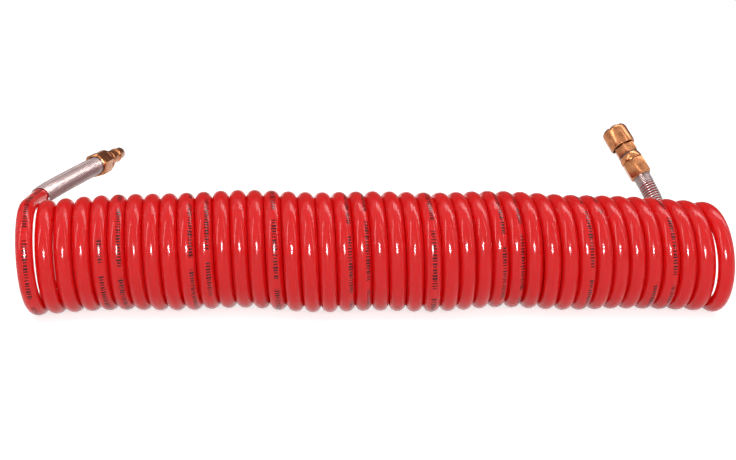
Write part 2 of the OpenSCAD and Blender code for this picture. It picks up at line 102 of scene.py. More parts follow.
class Board:
    """Node tree of one material or world, with short ways to add and join nodes."""

    def __init__(self, name: str, world: bool = False) -> None:
        """Starts an empty material, or an empty world."""
        self.material = (bpy.data.worlds if world else bpy.data.materials).new(name)
        self.material.use_nodes = True
        self.tree = self.material.node_tree
        self.tree.nodes.clear()
        self.output = self.add("ShaderNodeOutputWorld" if world else "ShaderNodeOutputMaterial")

    def add(self, kind: str, **settings: object) -> bpy.types.Node:
        """Adds a node and returns it.

        Args:
            kind: Type of the node.
            **settings: Attributes of the node, or what its inputs get, by name with
                underscores for spaces.
        """
        node = self.tree.nodes.new(kind)
        for key, value in settings.items():
            if hasattr(node, key):
                setattr(node, key, value)
            else:
                self.feed(value, node.inputs[key.replace("_", " ")])
        return node

    def feed(self, value: object, target: Socket) -> None:
        """Links a socket to an input, or sets the input to a plain value."""
        if isinstance(value, Socket):
            self.tree.links.new(value, target)
        else:
            target.default_value = value

    def maths(self, operation: str, *values: object) -> Socket:
        """Adds a Math node over numbers or sockets and returns its output."""
        node = self.add("ShaderNodeMath", operation=operation)
        for socket, value in zip(node.inputs, values):
            self.feed(value, socket)
        return node.outputs[0]

    def noise(self, vector: Socket, scale: float, detail: float = 3.0) -> Socket:
        """Adds a noise texture over some coordinates and returns its factor."""
        node = self.add("ShaderNodeTexNoise", Vector=vector, Scale=scale, Detail=detail)
        return node.outputs["Fac"]

    def span(self, value: Socket, low: float, high: float) -> Socket:
        """Maps a factor from 0..1 to low..high and returns the result."""
        node = self.add("ShaderNodeMapRange", Value=value, To_Min=low, To_Max=high)
        return node.outputs["Result"]

    def blend(self, factor: Socket, first: Colour | Socket, second: Colour) -> Socket:
        """Mixes two colours by a factor and returns the result."""
        node = self.add("ShaderNodeMix", data_type="RGBA")
        self.feed(factor, node.inputs[0])
        for colour, target in ((first, node.inputs[6]), (second, node.inputs[7])):
            self.feed(colour if isinstance(colour, Socket) else (*colour, 1.0), target)
        return node.outputs[2]

    def bump(self, height: Socket, strength: float, distance: float) -> Socket:
        """Turns a height into a bumped normal and returns it."""
        node = self.add("ShaderNodeBump", Height=height, Strength=strength, Distance=distance)
        return node.outputs["Normal"]

    def place(self) -> Socket:
        """Adds object coordinates and returns them."""
        return self.add("ShaderNodeTexCoord").outputs["Object"]

    def seen(self) -> Socket:
        """Adds a factor that is 1 where a surface is seen directly, in a gloss or through glass."""
        rays = self.add("ShaderNodeLightPath").outputs
        gloss = self.maths("MAXIMUM", rays["Is Glossy Ray"], rays["Is Transmission Ray"])
        return self.maths("MAXIMUM", rays["Is Camera Ray"], gloss)

    def surface(self, shader: bpy.types.Node) -> None:
        """Joins a shader to the output."""
        self.feed(shader.outputs[0], self.output.inputs["Surface"])

    def principled(self, **values: object) -> None:
        """Makes the surface shader, with its inputs by name as in add."""
        self.surface(self.add("ShaderNodeBsdfPrincipled", **values))


# ---------------------------------------------------------------- finishes


@dataclass(frozen=True)
class HoseFinish:
    """Glossy, faintly see-through red plastic with rows of dark ticks. Lengths are in millimetres.

    Attributes:
        red: Colour of most of the hose.
        deep_red: Colour of its clouds.
        ink: Colour of the ticks.
        cover: How fully the ink hides the red.
        roughness: Lowest and highest roughness.
        shine: Level of the mirror reflection.
        glow: Share of the light that travels under the surface.
        glow_reach: How far each colour of it travels, as a share of glow_depth.
        glow_depth: Depth that it travels, in metres.
        waviness: Strength and height of the surface's slow waves, the height in metres.
        tick_pitch: Distance from tick to tick.
        tick_width, width_luck: Least share of it that a tick fills, and what chance adds.
        tick_height, height_luck: Least half height of a tick, and what chance adds.
        word_pitch, word_share: Length of a group with the space behind it, and its printed share.
        row_pitch, row_share: The same of a row of groups.
        aside: How far the rows lie beside the hose's outer line.
        drift: How far they wander from there.
        drift_length: Length in which they wander through one radian.
    """

    red: Colour = (0.90, 0.013, 0.015)
    deep_red: Colour = (0.82, 0.010, 0.012)
    ink: Colour = (0.05, 0.002, 0.004)
    cover: float = 0.96
    roughness: tuple[float, float] = (0.13, 0.15)
    shine: float = 0.25
    glow: float = 0.9
    glow_reach: Colour = (1.0, 0.06, 0.05)
    glow_depth: float = 0.015
    waviness: tuple[float, float] = (0.003, 0.0004)
    tick_pitch: float = 1.9
    tick_width: float = 0.34
    width_luck: float = 0.4
    tick_height: float = 1.2
    height_luck: float = 0.7
    word_pitch: float = 47.0
    word_share: float = 0.84
    row_pitch: float = 1105.0
    row_share: float = 0.32
    aside: float = 2.0
    drift: float = 1.8
    drift_length: float = 420.0

    def ticks(self, board: Board) -> Socket:
        """Draws the ticks on the hose's own map and returns a factor that is 1 on the ink.

        The map's u and v are millimetres along and round the hose.
        """
        uv = board.add("ShaderNodeUVMap", uv_map=HOSE_MAP)
        parts = board.add("ShaderNodeSeparateXYZ", Vector=uv.outputs["UV"])
        along, around = parts.outputs["X"], parts.outputs["Y"]
        pitch = board.maths("DIVIDE", along, self.tick_pitch)
        chance = board.add("ShaderNodeTexWhiteNoise", noise_dimensions="1D")
        board.feed(board.maths("FLOOR", pitch), chance.inputs["W"])
        luck = board.add("ShaderNodeSeparateColor", Color=chance.outputs["Color"])
        width = board.maths("MULTIPLY_ADD", luck.outputs[0], self.width_luck, self.tick_width)
        height = board.maths("MULTIPLY_ADD", luck.outputs[1], self.height_luck, self.tick_height)
        inside = board.maths("LESS_THAN", board.maths("FRACT", pitch), width)
        word = board.maths("FRACT", board.maths("DIVIDE", along, self.word_pitch))
        row = board.maths("FRACT", board.maths("DIVIDE", along, self.row_pitch))
        printed = board.maths(
            "MULTIPLY",
            board.maths("LESS_THAN", word, self.word_share),
            board.maths("LESS_THAN", row, self.row_share),
        )
        drift = board.maths("SINE", board.maths("DIVIDE", along, self.drift_length))
        shifted = board.maths("ADD", around, self.aside)
        offset = board.maths("MULTIPLY_ADD", drift, -self.drift, shifted)
        tall = board.maths("LESS_THAN", board.maths("ABSOLUTE", offset), height)
        return board.maths("MULTIPLY", board.maths("MULTIPLY", inside, tall), printed)

    def material(self) -> bpy.types.Material:
        """Builds the finish and returns its material."""
        board = Board("hose_red_polyurethane")
        place = board.place()
        tone = board.blend(board.span(board.noise(place, 26.0), -0.2, 1.0), self.red, self.deep_red)
        ink = self.ticks(board)
        colour = board.blend(board.maths("MULTIPLY", ink, self.cover), tone, self.ink)
        board.principled(
            Base_Color=colour,
            Roughness=board.span(board.noise(place, 90.0, 2.0), *self.roughness),
            IOR=1.5,
            Specular_IOR_Level=self.shine,
            Subsurface_Weight=board.maths("MULTIPLY_ADD", ink, -self.glow, self.glow),
            Subsurface_Radius=self.glow_reach,
            Subsurface_Scale=self.glow_depth,
            Normal=board.bump(board.noise(place, 70.0, 2.0), *self.waviness),
        )
        return board.material


@dataclass(frozen=True)
class MetalFinish:
    """Metal with slight clouding and fine tool marks. The clouds are tarnish, and on the brass they
    are also painted dark reflections.

    Attributes:
        name: Name of the material.
        bright: Colour of the clean metal.
        tarnish_and_dark_reflection: Colour of the tarnished metal, which on the brass is mostly a
            painted dark reflection.
        roughness: Lowest and highest roughness.
        marks: Strength of the fine marks.
        cloud: Scale of the clouding.
        mark_scale: Scale of the fine marks.
        mark_depth: Height of the fine marks, in metres.
    """

    name: str
    bright: Colour
    tarnish_and_dark_reflection: Colour
    roughness: tuple[float, float]
    marks: float
    cloud: float = 90.0
    mark_scale: float = 900.0
    mark_depth: float = 0.0002

    def material(self) -> bpy.types.Material:
        """Builds the finish and returns its material."""
        board = Board(self.name)
        place = board.place()
        # The clouds blend clean metal with tarnish; on the brass their dark side is a painted dark
        # reflection.
        cloud = board.noise(place, self.cloud)
        board.principled(
            Base_Color=board.blend(board.span(cloud, -0.3, 1.1), self.bright, self.tarnish_and_dark_reflection),
            Metallic=1.0,
            Roughness=board.span(board.noise(place, self.cloud * 6, 4.0), *self.roughness),
            Normal=board.bump(
                board.noise(place, self.mark_scale), self.marks, self.mark_depth
            ),
        )
        return board.material


@dataclass(frozen=True)
class SealFinish:
    """Black rubber with a dusty bloom."""

    black: Colour = (0.018, 0.018, 0.019)
    bloom: Colour = (0.05, 0.05, 0.052)
    roughness: tuple[float, float] = (0.5, 0.75)
    grain: tuple[float, float] = (0.15, 0.0002)

    def material(self) -> bpy.types.Material:
        """Builds the finish and returns its material."""
        board = Board("seal_black_rubber")
        place = board.place()
        board.principled(
            Base_Color=board.blend(board.noise(place, 300.0), self.black, self.bloom),
            Roughness=board.span(board.noise(place, 700.0), *self.roughness),
            Normal=board.bump(board.noise(place, 1500.0), *self.grain),
        )
        return board.material


@dataclass(frozen=True)
class FloorFinish:
    """Pale floor that looks white to the camera and still takes the shadow."""

    pale: float = 0.76
    glow: float = 0.77

    def material(self) -> bpy.types.Material:
        """Builds the finish and returns its material."""
        board = Board("studio_floor")
        diffuse = board.add("ShaderNodeBsdfDiffuse", Color=(self.pale, self.pale, self.pale, 1.0))
        strength = board.maths("MULTIPLY", board.seen(), self.glow)
        glow = board.add("ShaderNodeEmission", Strength=strength)
        total = board.add("ShaderNodeAddShader")
        for shader, target in zip((diffuse, glow), total.inputs):
            board.feed(shader.outputs[0], target)
        board.surface(total)
        return board.material


FINISHES = {
    Slot.HOSE: HoseFinish(),
    Slot.ZINC_WIRE: MetalFinish(
        "zinc_plated_wire", (0.40, 0.31, 0.30), (0.26, 0.19, 0.19), (0.26, 0.36), 0.01
    ),
    # The brass's very dark clouds are painted dark reflections of dark surroundings, on top of
    # tarnish.
    Slot.BRASS: MetalFinish(
        "reddish_brass", (0.60, 0.25, 0.11), (0.16, 0.045, 0.015), (0.16, 0.30), 0.04, 200.0
    ),
    Slot.STEEL: MetalFinish(
        "bright_steel", (0.66, 0.66, 0.68), (0.52, 0.52, 0.54), (0.15, 0.3), 0.03
    ),
    Slot.SEAL: SealFinish(),
}


@dataclass
class Finishes:
    """Every material of the part, built once."""

    made: dict[Slot, bpy.types.Material] = field(
        default_factory=lambda: {slot: finish.material() for slot, finish in FINISHES.items()}
    )

    def dress(self, piece: Piece, slot: Slot, body: Body, *nodes: str) -> Piece:
        """Gives a piece its finish and tells the frame about it.

        Args:
            piece: The modelled piece.
            slot: Its material slot.
            body: Body that it rides on.
            *nodes: CAD nodes that it replaces.

        Returns:
            The piece.
        """
        piece.data.materials.clear()
        piece.data.materials.append(self.made[slot])
        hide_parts(*nodes)
        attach(piece, body.value)
        LOG.info("piece %s on %s", piece.name, body.value)
        return piece


# ---------------------------------------------------------------- modelling


class Bench:
    """Ways of modelling that several pieces share. Sizes are in millimetres."""

    @staticmethod
    def clear() -> None:
        """Leaves edit mode and deselects everything."""
        if bpy.context.object and bpy.context.object.mode != "OBJECT":
            bpy.ops.object.mode_set(mode="OBJECT")
        bpy.ops.object.select_all(action="DESELECT")

    @staticmethod
    def pick(piece: Piece) -> None:
        """Selects one piece alone and makes it active."""
        Bench.clear()
        piece.select_set(True)
        bpy.context.view_layer.objects.active = piece

    @staticmethod
    def turned(name: str, outline: Outline, segments: int = 96) -> Piece:
        """Turns a closed outline round Z, one extruded ring after another.

        Args:
            name: Name of the piece, which is returned in metres.
            outline: Radius and height of each corner.
            segments: Faces round the axis.
        """
        Bench.clear()
        radius, height = outline[0]
        bpy.ops.mesh.primitive_circle_add(
            vertices=segments, radius=radius * MM, location=(0, 0, height * MM)
        )
        piece = bpy.context.object
        piece.name = name
        bpy.ops.object.transform_apply(location=True, rotation=True, scale=True)
        bpy.ops.object.mode_set(mode="EDIT")
        bpy.ops.mesh.select_all(action="SELECT")
        for next_radius, next_height in [*outline[1:], outline[0]]:
            bpy.ops.mesh.extrude_region_move(
                TRANSFORM_OT_translate={"value": (0, 0, (next_height - height) * MM)}
            )
            scale = next_radius / radius
            bpy.ops.transform.resize(
                value=(scale, scale, 1), center_override=(0, 0, next_height * MM)
            )
            radius, height = next_radius, next_height
        bpy.ops.mesh.select_all(action="SELECT")
        bpy.ops.mesh.remove_doubles(threshold=MERGE_REACH)
        bpy.ops.mesh.normals_make_consistent(inside=False)
        bpy.ops.object.mode_set(mode="OBJECT")
        return piece

    @staticmethod
    def six_sided(name: str, across: float, low: float, high: float) -> Piece:
        """Makes a hexagonal bar along Z, given across its flats, and returns it in metres."""
        Bench.clear()
        bpy.ops.mesh.primitive_cylinder_add(
            vertices=6,
            radius=across / 2 / math.cos(math.radians(30)) * MM,
            depth=(high - low) * MM,
            location=(0, 0, (low + high) / 2 * MM),
            rotation=(0, 0, math.radians(HEX_CORNER - 30)),
        )
        piece = bpy.context.object
        piece.name = name
        bpy.ops.object.transform_apply(location=True, rotation=True, scale=True)
        return piece

    @staticmethod
    def combine(piece: Piece, tool: Piece, operation: str) -> None:
        """Joins, cuts or trims a piece with a tool by a Boolean operation, and removes the tool."""
        Bench.pick(piece)
        modifier = piece.modifiers.new("combine", "BOOLEAN")
        modifier.operation = operation
        modifier.solver = "EXACT"
        modifier.object = tool
        bpy.ops.object.modifier_apply(modifier=modifier.name)
        bpy.data.objects.remove(tool)

    @staticmethod
    def soften(piece: Piece, width: float) -> None:
        """Rounds the edges of a piece by a width and smooths its shading."""
        Bench.pick(piece)
        modifier = piece.modifiers.new("soften", "BEVEL")
        modifier.width = width * MM
        modifier.segments = 2
        modifier.limit_method = "ANGLE"
        modifier.angle_limit = math.radians(BEVEL_ANGLE)
        modifier.use_clamp_overlap = True
        bpy.ops.object.modifier_apply(modifier=modifier.name)
        bpy.ops.object.shade_smooth_by_angle(angle=math.radians(SMOOTH_ANGLE))

    @staticmethod
    def swept(
        name: str,
        path: Sequence[Vector],
        radius: float,
        sides: int,
        outward: Sequence[Vector] | None = None,
        widths: Sequence[float] | None = None,
        map_name: str | None = None,
    ) -> Piece:
        """Sweeps a round section along a path, in metres.

        Args:
            name: Name of the piece.
            path: Points of the centreline.
            radius: Radius of the section.
            sides: Sides of the section.
            outward: Direction of the section's first side at each point.
            widths: How much wider than high the section is at each point.
            map_name: Name of the map that gets millimetres along and round the tube.

        Returns:
            The new piece.
        """
        count = len(path)
        ways = [
            (path[min(i + 1, count - 1)] - path[max(i - 1, 0)]).normalized()
            for i in range(count)
        ]
        side = outward[0].copy() if outward else ways[0].orthogonal()
        verts: list[Vector] = []
        for i, way in enumerate(ways):
            side = outward[i].copy() if outward else side
            side = (side - side.dot(way) * way).normalized()
            up = way.cross(side) * (widths[i] if widths else 1.0)
            verts += [
                path[i] + radius * (math.cos(a) * side + math.sin(a) * up)
                for a in (2 * math.pi * j / sides for j in range(sides))
            ]
        faces = [
            (at + j, at + (j + 1) % sides, at + sides + (j + 1) % sides, at + sides + j)
            for at in range(0, (count - 1) * sides, sides)
            for j in range(sides)
        ]
        faces.append(tuple(reversed(range(sides))))
        faces.append(tuple(range((count - 1) * sides, count * sides)))
        mesh = bpy.data.meshes.new(name)
        mesh.from_pydata(verts, [], faces)
        mesh.shade_smooth()
        if map_name:
            Bench.map_along(mesh, map_name, path, radius, sides)
        piece = bpy.data.objects.new(name, mesh)
        bpy.context.scene.collection.objects.link(piece)
        return piece

    @staticmethod
    def map_along(
        mesh: bpy.types.Mesh, map_name: str, path: Sequence[Vector], radius: float, sides: int
    ) -> None:
        """Writes millimetres along and round a swept tube into a new map, as named in swept."""
        runs = [0.0]
        for first, second in zip(path, path[1:]):
            runs.append(runs[-1] + (second - first).length / MM)
        uv = mesh.uv_layers.new(name=map_name)
        step = 2 * math.pi * radius / MM / sides
        values: list[float] = []
        for polygon in mesh.polygons:
            columns = [v % sides for v in polygon.vertices]
            wraps = max(columns) - min(columns) > 1
            for vertex, column in zip(polygon.vertices, columns):
                turned = column + sides if wraps and column == 0 else column
                if turned > sides // 2:
                    turned -= sides
                values += [runs[vertex // sides], turned * step]
        uv.data.foreach_set("uv", values)


# ---------------------------------------------------------------- hose


@dataclass
class HoseRoute:
    """Centreline of the hose, from the plug's nut round the coil to the coupler's nut.

    Lengths are in millimetres, and angles in degrees. Turns count from the top of the first.

    Attributes:
        rest_turn: Turn whose lowest point is over the origin.
        end_taper: How much smaller the turns' radius is at the coil's ends.
        open_middle: Extra length, most of it in the middle.
        end_spread: Extra length of the last turns.
        spread_turns: Turns that end_spread draws apart.
        sweep_back: How far the coupler end lies behind the middle.
        plug_end_forward, coupler_end_forward: How far the first and last turn stand forward.
        loose_turns: Turns at each end that stand forward.
        waves: Size, length in turns and start of each wave in the coil.
        lift: How far the first turn opens upwards.
        lift_turns: Share of a turn that opens upwards.
        plug_nut, coupler_nut: Back faces of the nuts.
        plug_turn, coupler_turn: Tilt and azimuth of the fittings.
        plug_lead, coupler_lead: Pull of the curves at the coil and at the nuts.
        tail_points: Points in each free stretch outside its nut.
        nut_points: Points of each free stretch inside its nut.
        joints: Places of the points between coil and free stretch, in hose diameters.
        look: How far to either side the axis's heading is read, in turns.
    """

    diameter: float = 12.0
    turns: float = 40.5
    rest_turn: float = 20.5
    coil_diameter: float = 90.0
    end_taper: float = 3.4
    pitch: float = 12.3
    open_middle: float = 8.0
    end_spread: float = 2.5
    spread_turns: float = 2.0
    sweep_back: float = 9.0
    plug_end_forward: float = 16.0
    coupler_end_forward: float = 14.0
    loose_turns: float = 4.0
    waves: tuple[tuple[float, float, float], ...] = ((4.4, 17.6, 227.0), (3.5, 7.6, 218.0))
    lift: float = 3.0
    lift_turns: float = 0.25
    plug_nut: Vector = field(default_factory=lambda: Vector((-229, 118, 89)))
    plug_turn: tuple[float, float] = (85, 73)
    plug_lead: tuple[float, float] = (45, 40)
    coupler_nut: Vector = field(default_factory=lambda: Vector((236, 137, 80)))
    coupler_turn: tuple[float, float] = (42, 128)
    coupler_lead: tuple[float, float] = (70, 58)
    points_per_turn: int = 48
    tail_points: int = 40
    nut_points: int = 4
    joints: tuple[float, ...] = (0.33, 0.67, 1.0)
    look: float = 0.25

    def share(self, turn: float) -> float:
        """Returns the place along the coil, from -1 to 1."""
        return (turn - self.turns / 2) / (self.turns / 2)

    def radius(self, turn: float) -> float:
        """Returns the radius of the centreline at a turn."""
        return (self.coil_diameter - self.diameter) / 2 - self.end_taper * self.share(turn) ** 2

    def axis(self, turn: float) -> Vector:
        """Returns the smooth, level axis that the turns are wound on."""
        from_rest = (turn - self.rest_turn) / (self.turns / 2)
        spread = max(0.0, turn - self.turns + self.spread_turns) / self.spread_turns
        share = self.share(turn)
        return Vector(
            (
                self.pitch * (turn - self.rest_turn)
                + self.open_middle / 2 * (1.5 * from_rest - 0.5 * from_rest**3)
                + self.end_spread * spread**1.5,
                self.sweep_back / 2 * share**2 * (1 + share),
                0.0,
            )
        )

    def across(self, turn: float) -> Vector:
        """Returns the level direction square to the axis, pointing back."""
        heading = (self.axis(turn + self.look) - self.axis(turn - self.look)).normalized()
        return Vector((-heading.y, heading.x, 0.0))

    def stray(self, turn: float) -> float:
        """Returns how far a turn lies behind the axis."""
        waves = sum(
            size * math.sin(2 * math.pi * turn / length + math.radians(start))
            for size, length, start in self.waves
        )
        plug_end = max(0.0, 1 - turn / self.loose_turns) ** 2
        coupler_end = max(0.0, 1 - (self.turns - turn) / self.loose_turns) ** 2
        return (
            (1 - self.share(turn) ** 4) * waves
            - self.plug_end_forward * plug_end
            - self.coupler_end_forward * coupler_end
        )

    def coil_point(self, turn: float) -> Vector:
        """Returns the centreline's point at a turn."""
        radius = self.radius(turn)
        angle = 2 * math.pi * turn
        opened = radius
        if turn < self.lift_turns:
            opened += self.lift * math.cos(angle) ** 2
        return (
            self.axis(turn)
            - opened * math.sin(angle) * self.across(turn)
            + Vector((0.0, self.stray(turn), radius + self.diameter / 2 + opened * math.cos(angle)))
        )

    @staticmethod
    def way(turn: tuple[float, float]) -> Vector:
        """Returns the direction of a fitting from its tilt and azimuth in degrees."""
        tilt, azimuth = (math.radians(a) for a in turn)
        return Vector(
            (math.sin(tilt) * math.cos(azimuth), math.sin(tilt) * math.sin(azimuth), math.cos(tilt))
        )

    def tail(
        self, turn: float, lead: tuple[float, float], nut: Vector, way: Vector
    ) -> list[Vector]:
        """Traces one free stretch from the coil into its nut.

        Args:
            turn: Turn at which the stretch leaves the coil.
            lead: Pull of the curve at the coil and at the nut.
            nut: Back face of the nut.
            way: Direction of the nut.

        Returns:
            The stretch's points, without the start.
        """
        first_way = self.across(turn)
        start = self.coil_point(turn) + self.diameter * first_way
        corners = (start, start + lead[0] * first_way, nut - lead[1] * way, nut)
        points = []
        for i in range(1, self.tail_points + 1):
            k = i / self.tail_points
            weights = ((1 - k) ** 3, 3 * k * (1 - k) ** 2, 3 * k * k * (1 - k), k**3)
            points.append(sum((w * c for w, c in zip(weights, corners)), Vector()))
        count = self.nut_points
        return points + [nut + way * HOSE_END * (i + 1) / count for i in range(count)]

    def plug_tail(self) -> list[Vector]:
        """Returns the stretch from the coil's top to inside the plug's nut."""
        return self.tail(0.0, self.plug_lead, self.plug_nut, self.way(self.plug_turn))

    def coupler_tail(self) -> list[Vector]:
        """Returns the stretch from the coil's underside to inside the coupler's nut."""
        return self.tail(
            self.turns, self.coupler_lead, self.coupler_nut, self.way(self.coupler_turn)
        )

    def coil(self) -> list[Vector]:
        """Returns the coil's points with the short straight runs at both ends."""
        count = round(self.turns * self.points_per_turn)
        points = [self.coil_point(self.turns * i / count) for i in range(count + 1)]
        ways = self.across(0.0), self.across(self.turns)
        lead_in = [points[0] + self.diameter * k * ways[0] for k in reversed(self.joints)]
        lead_out = [points[-1] + self.diameter * k * ways[1] for k in self.joints]
        return lead_in + points + lead_out

    def whole(self) -> list[Vector]:
        """Returns the whole centreline in metres, from the plug's nut to the coupler's nut."""
        points = list(reversed(self.plug_tail())) + self.coil() + self.coupler_tail()
        return [p * MM for p in points]


@dataclass
class Hose:
    """The red hose itself.

    Attributes:
        route: Its centreline.
        sides: Sides of its section.
        press: Width of a turn as a share of its distance to the next.
    """

    route: HoseRoute
    sides: int = 24
    press: float = 1.012

    def outward(self, path: Sequence[Vector]) -> list[Vector]:
        """Returns the direction away from the coil's axis at each point, where the ticks are."""
        middle = self.route.radius(self.route.turns / 2) * MM
        return [Vector((0.0, p.y, p.z - middle)) for p in path]

    def widths(self, path: Sequence[Vector]) -> list[float]:
        """Returns how much wider than high the hose is at each point, so that turns touch."""
        route = self.route
        widths = []
        for i in range(len(path)):
            turn = (i - route.tail_points) / route.points_per_turn
            fade = min(1.0, max(0.0, min(turn, route.turns - turn)))
            spacing = (route.axis(turn + 0.5) - route.axis(turn - 0.5)).length
            widths.append(1.0 + fade * (self.press * spacing / route.diameter - 1.0))
        return widths

    def build(self, finishes: Finishes) -> Piece:
        """Models and dresses the hose, and returns it."""
        path = self.route.whole()
        hose = Bench.swept(
            "hose",
            path,
            self.route.diameter / 2 * MM,
            self.sides,
            self.outward(path),
            self.widths(path),
            HOSE_MAP,
        )
        nodes = ("hose_coil", "hose_tail_plug_end", "hose_tail_coupler_end")
        return finishes.dress(hose, Slot.HOSE, Body.HOSE, *nodes)

    def declare(self) -> None:
        """Works out the hose's whole centreline; nothing more is done with it."""
        path = self.route.whole()


@dataclass
class SpringGuard:
    """Wound wire sleeve over the hose next to a nut, in millimetres.

    Attributes:
        name: Name of the piece.
        node: CAD node that it replaces.
        tail: Free stretch of hose that it sits on.
        reach: Length of the sleeve.
        wire: Diameter of the wire.
        radius: Radius of the wire's centreline.
        close_turns: Turns that touch, next to the nut.
        open_turns: Turns that stand a little apart.
        steps: Points in each turn.
        sides: Sides of the wire's section.
    """

    name: str
    node: str
    tail: Sequence[Vector]
    reach: float = 105.0
    wire: float = 1.4
    radius: float = 6.8
    close_turns: int = 8
    open_turns: int = 40
    steps: int = 18
    sides: int = 8

    def along(self) -> tuple[list[Vector], list[float]]:
        """Returns the tail's points and running lengths, from the nut's pocket backwards."""
        points = list(reversed(self.tail))
        runs = [GUARD_POCKET - HOSE_END]
        for first, second in zip(points, points[1:]):
            runs.append(runs[-1] + (second - first).length)
        return points, runs

    def build(self, finishes: Finishes) -> Piece:
        """Models and dresses the guard, and returns it."""
        points, runs = self.along()
        path: list[Vector] = []
        close_reach = self.close_turns * self.wire
        open_pitch = (self.reach - self.wire - close_reach) / self.open_turns
        span = 0
        for i in range((self.close_turns + self.open_turns) * self.steps + 1):
            turn = i / self.steps
            at = self.wire / 2 + min(turn, self.close_turns) * self.wire
            at += max(turn - self.close_turns, 0.0) * open_pitch
            while span < len(runs) - 2 and runs[span + 1] < at:
                span += 1
            k = (at - runs[span]) / (runs[span + 1] - runs[span])
            centre = points[span].lerp(points[span + 1], k)
            before = points[max(span - 1, 0)]
            after = points[min(span + 2, len(points) - 1)]
            way = (after - before).normalized()
            side = (Vector((1, 0, 0)) - way.x * way).normalized()
            up = way.cross(side)
            angle = 2 * math.pi * i / self.steps
            out = math.cos(angle) * side + math.sin(angle) * up
            path.append((centre + self.radius * out) * MM)
        guard = Bench.swept(self.name, path, self.wire / 2 * MM, self.sides)
        return finishes.dress(guard, Slot.ZINC_WIRE, Body.HOSE, self.node)


# ---------------------------------------------------------------- fittings


@dataclass
class Fitting:
    """Where pieces go that are modelled along +Z from the back face of a nut.

    Attributes:
        nut: Back face of the nut, in millimetres.
        turn: Tilt and azimuth of the fitting, in degrees.
        finishes: Materials of the part.
    """

    nut: Vector
    turn: tuple[float, float]
    finishes: Finishes

    def matrix(self) -> Matrix:
        """Returns the transform from the fitting's own axes to the frame, in metres."""
        tilt, azimuth = (math.radians(a) for a in self.turn)
        return (
            Matrix.Translation(self.nut * MM)
            @ Matrix.Rotation(azimuth, 4, "Z")
            @ Matrix.Rotation(tilt, 4, "Y")
        )

    def put(self, piece: Piece, slot: Slot, body: Body, node: str) -> Piece:
        """Moves a finished piece into place, dresses it as Finishes.dress does and returns it."""
        piece.data.transform(self.matrix())
        piece.data.update()
        return self.finishes.dress(piece, slot, body, node)


@dataclass
class UnionNut:
    """Hexagonal nut that holds the guard and clamps the hose, in millimetres.

    Attributes:
        name: Name of the piece.
        node: CAD node that it replaces.
        across: Width across the flats.
        rounding: Width of its rounded edges.
    """

    name: str
    node: str
    across: float = 18.0
    rounding: float = 0.22

    def build(self, fitting: Fitting) -> Piece:
        """Models the nut, puts it on its fitting and returns it."""
        nut = Bench.six_sided(self.name, self.across, 0.0, NUT_LENGTH)
        tip = self.across / 2 / math.cos(math.radians(30)) + 0.3
        flat = self.across / 2
        rim = [
            (2.0, -0.5), (flat - 0.55, -0.5), (flat - 0.55, 0.0), (tip, 1.75),
            (tip, NUT_LENGTH - 1.2), (flat - 0.25, NUT_LENGTH),
            (flat - 0.25, NUT_LENGTH + 0.5), (2.0, NUT_LENGTH + 0.5),
        ]
        Bench.combine(nut, Bench.turned("rim", rim), "INTERSECT")
        bore = [
            (1.0, -1.0), (7.85, -1.0), (7.65, GUARD_POCKET), (6.1, GUARD_POCKET),
            (6.1, 7.5), (7.2, 7.5), (7.2, NUT_LENGTH + 1), (1.0, NUT_LENGTH + 1),
        ]
        Bench.combine(nut, Bench.turned("bore", bore), "DIFFERENCE")
        Bench.soften(nut, self.rounding)
        return fitting.put(nut, Slot.BRASS, Body.HOSE, self.node)


def stem() -> list[tuple[float, float]]:
    """Returns the outline of a barbed stem, from its tip to the nut's front face."""
    corners = [(2.9, 4.5), (3.5, 4.5)]
    for start in (4.5, 6.7, 8.9):
        corners += [(3.95, start + 1.4), (3.62, start + 1.6)]
    corners += [(3.95, 11.2), (3.95, HOSE_END)]
    return corners + [(THREAD_RADIUS, HOSE_END), (THREAD_RADIUS, NUT_LENGTH)]


@dataclass
class PlugEnd:
    """Everything on the plug end."""

    fitting: Fitting

    def plug(self) -> Piece:
        """Models and places the quick plug."""
        outline = stem() + [
            (9.2, NUT_LENGTH), (9.2, 19.0), (8.2, 20.0), (5.0, 20.0),  # collar
            (5.0, 26.05), (5.95, 27.0), (5.95, 33.0),                  # neck and shank
            (4.75, 34.2), (4.75, 37.2), (5.95, 38.4), (5.95, 39.8),    # ball groove and rib
            (4.95, 40.8), (4.95, 48.2), (3.95, 49.2), (2.9, 49.2),     # nose
        ]
        plug = Bench.turned("quick_plug_turned", outline)
        Bench.soften(plug, 0.18)
        return self.fitting.put(plug, Slot.BRASS, Body.HOSE, "quick_plug")

    def build(self) -> list[Piece]:
        """Builds the plug end and returns its pieces."""
        return [
            UnionNut("plug_nut_hexagon", "plug_union_nut").build(self.fitting),
            self.plug(),
        ]


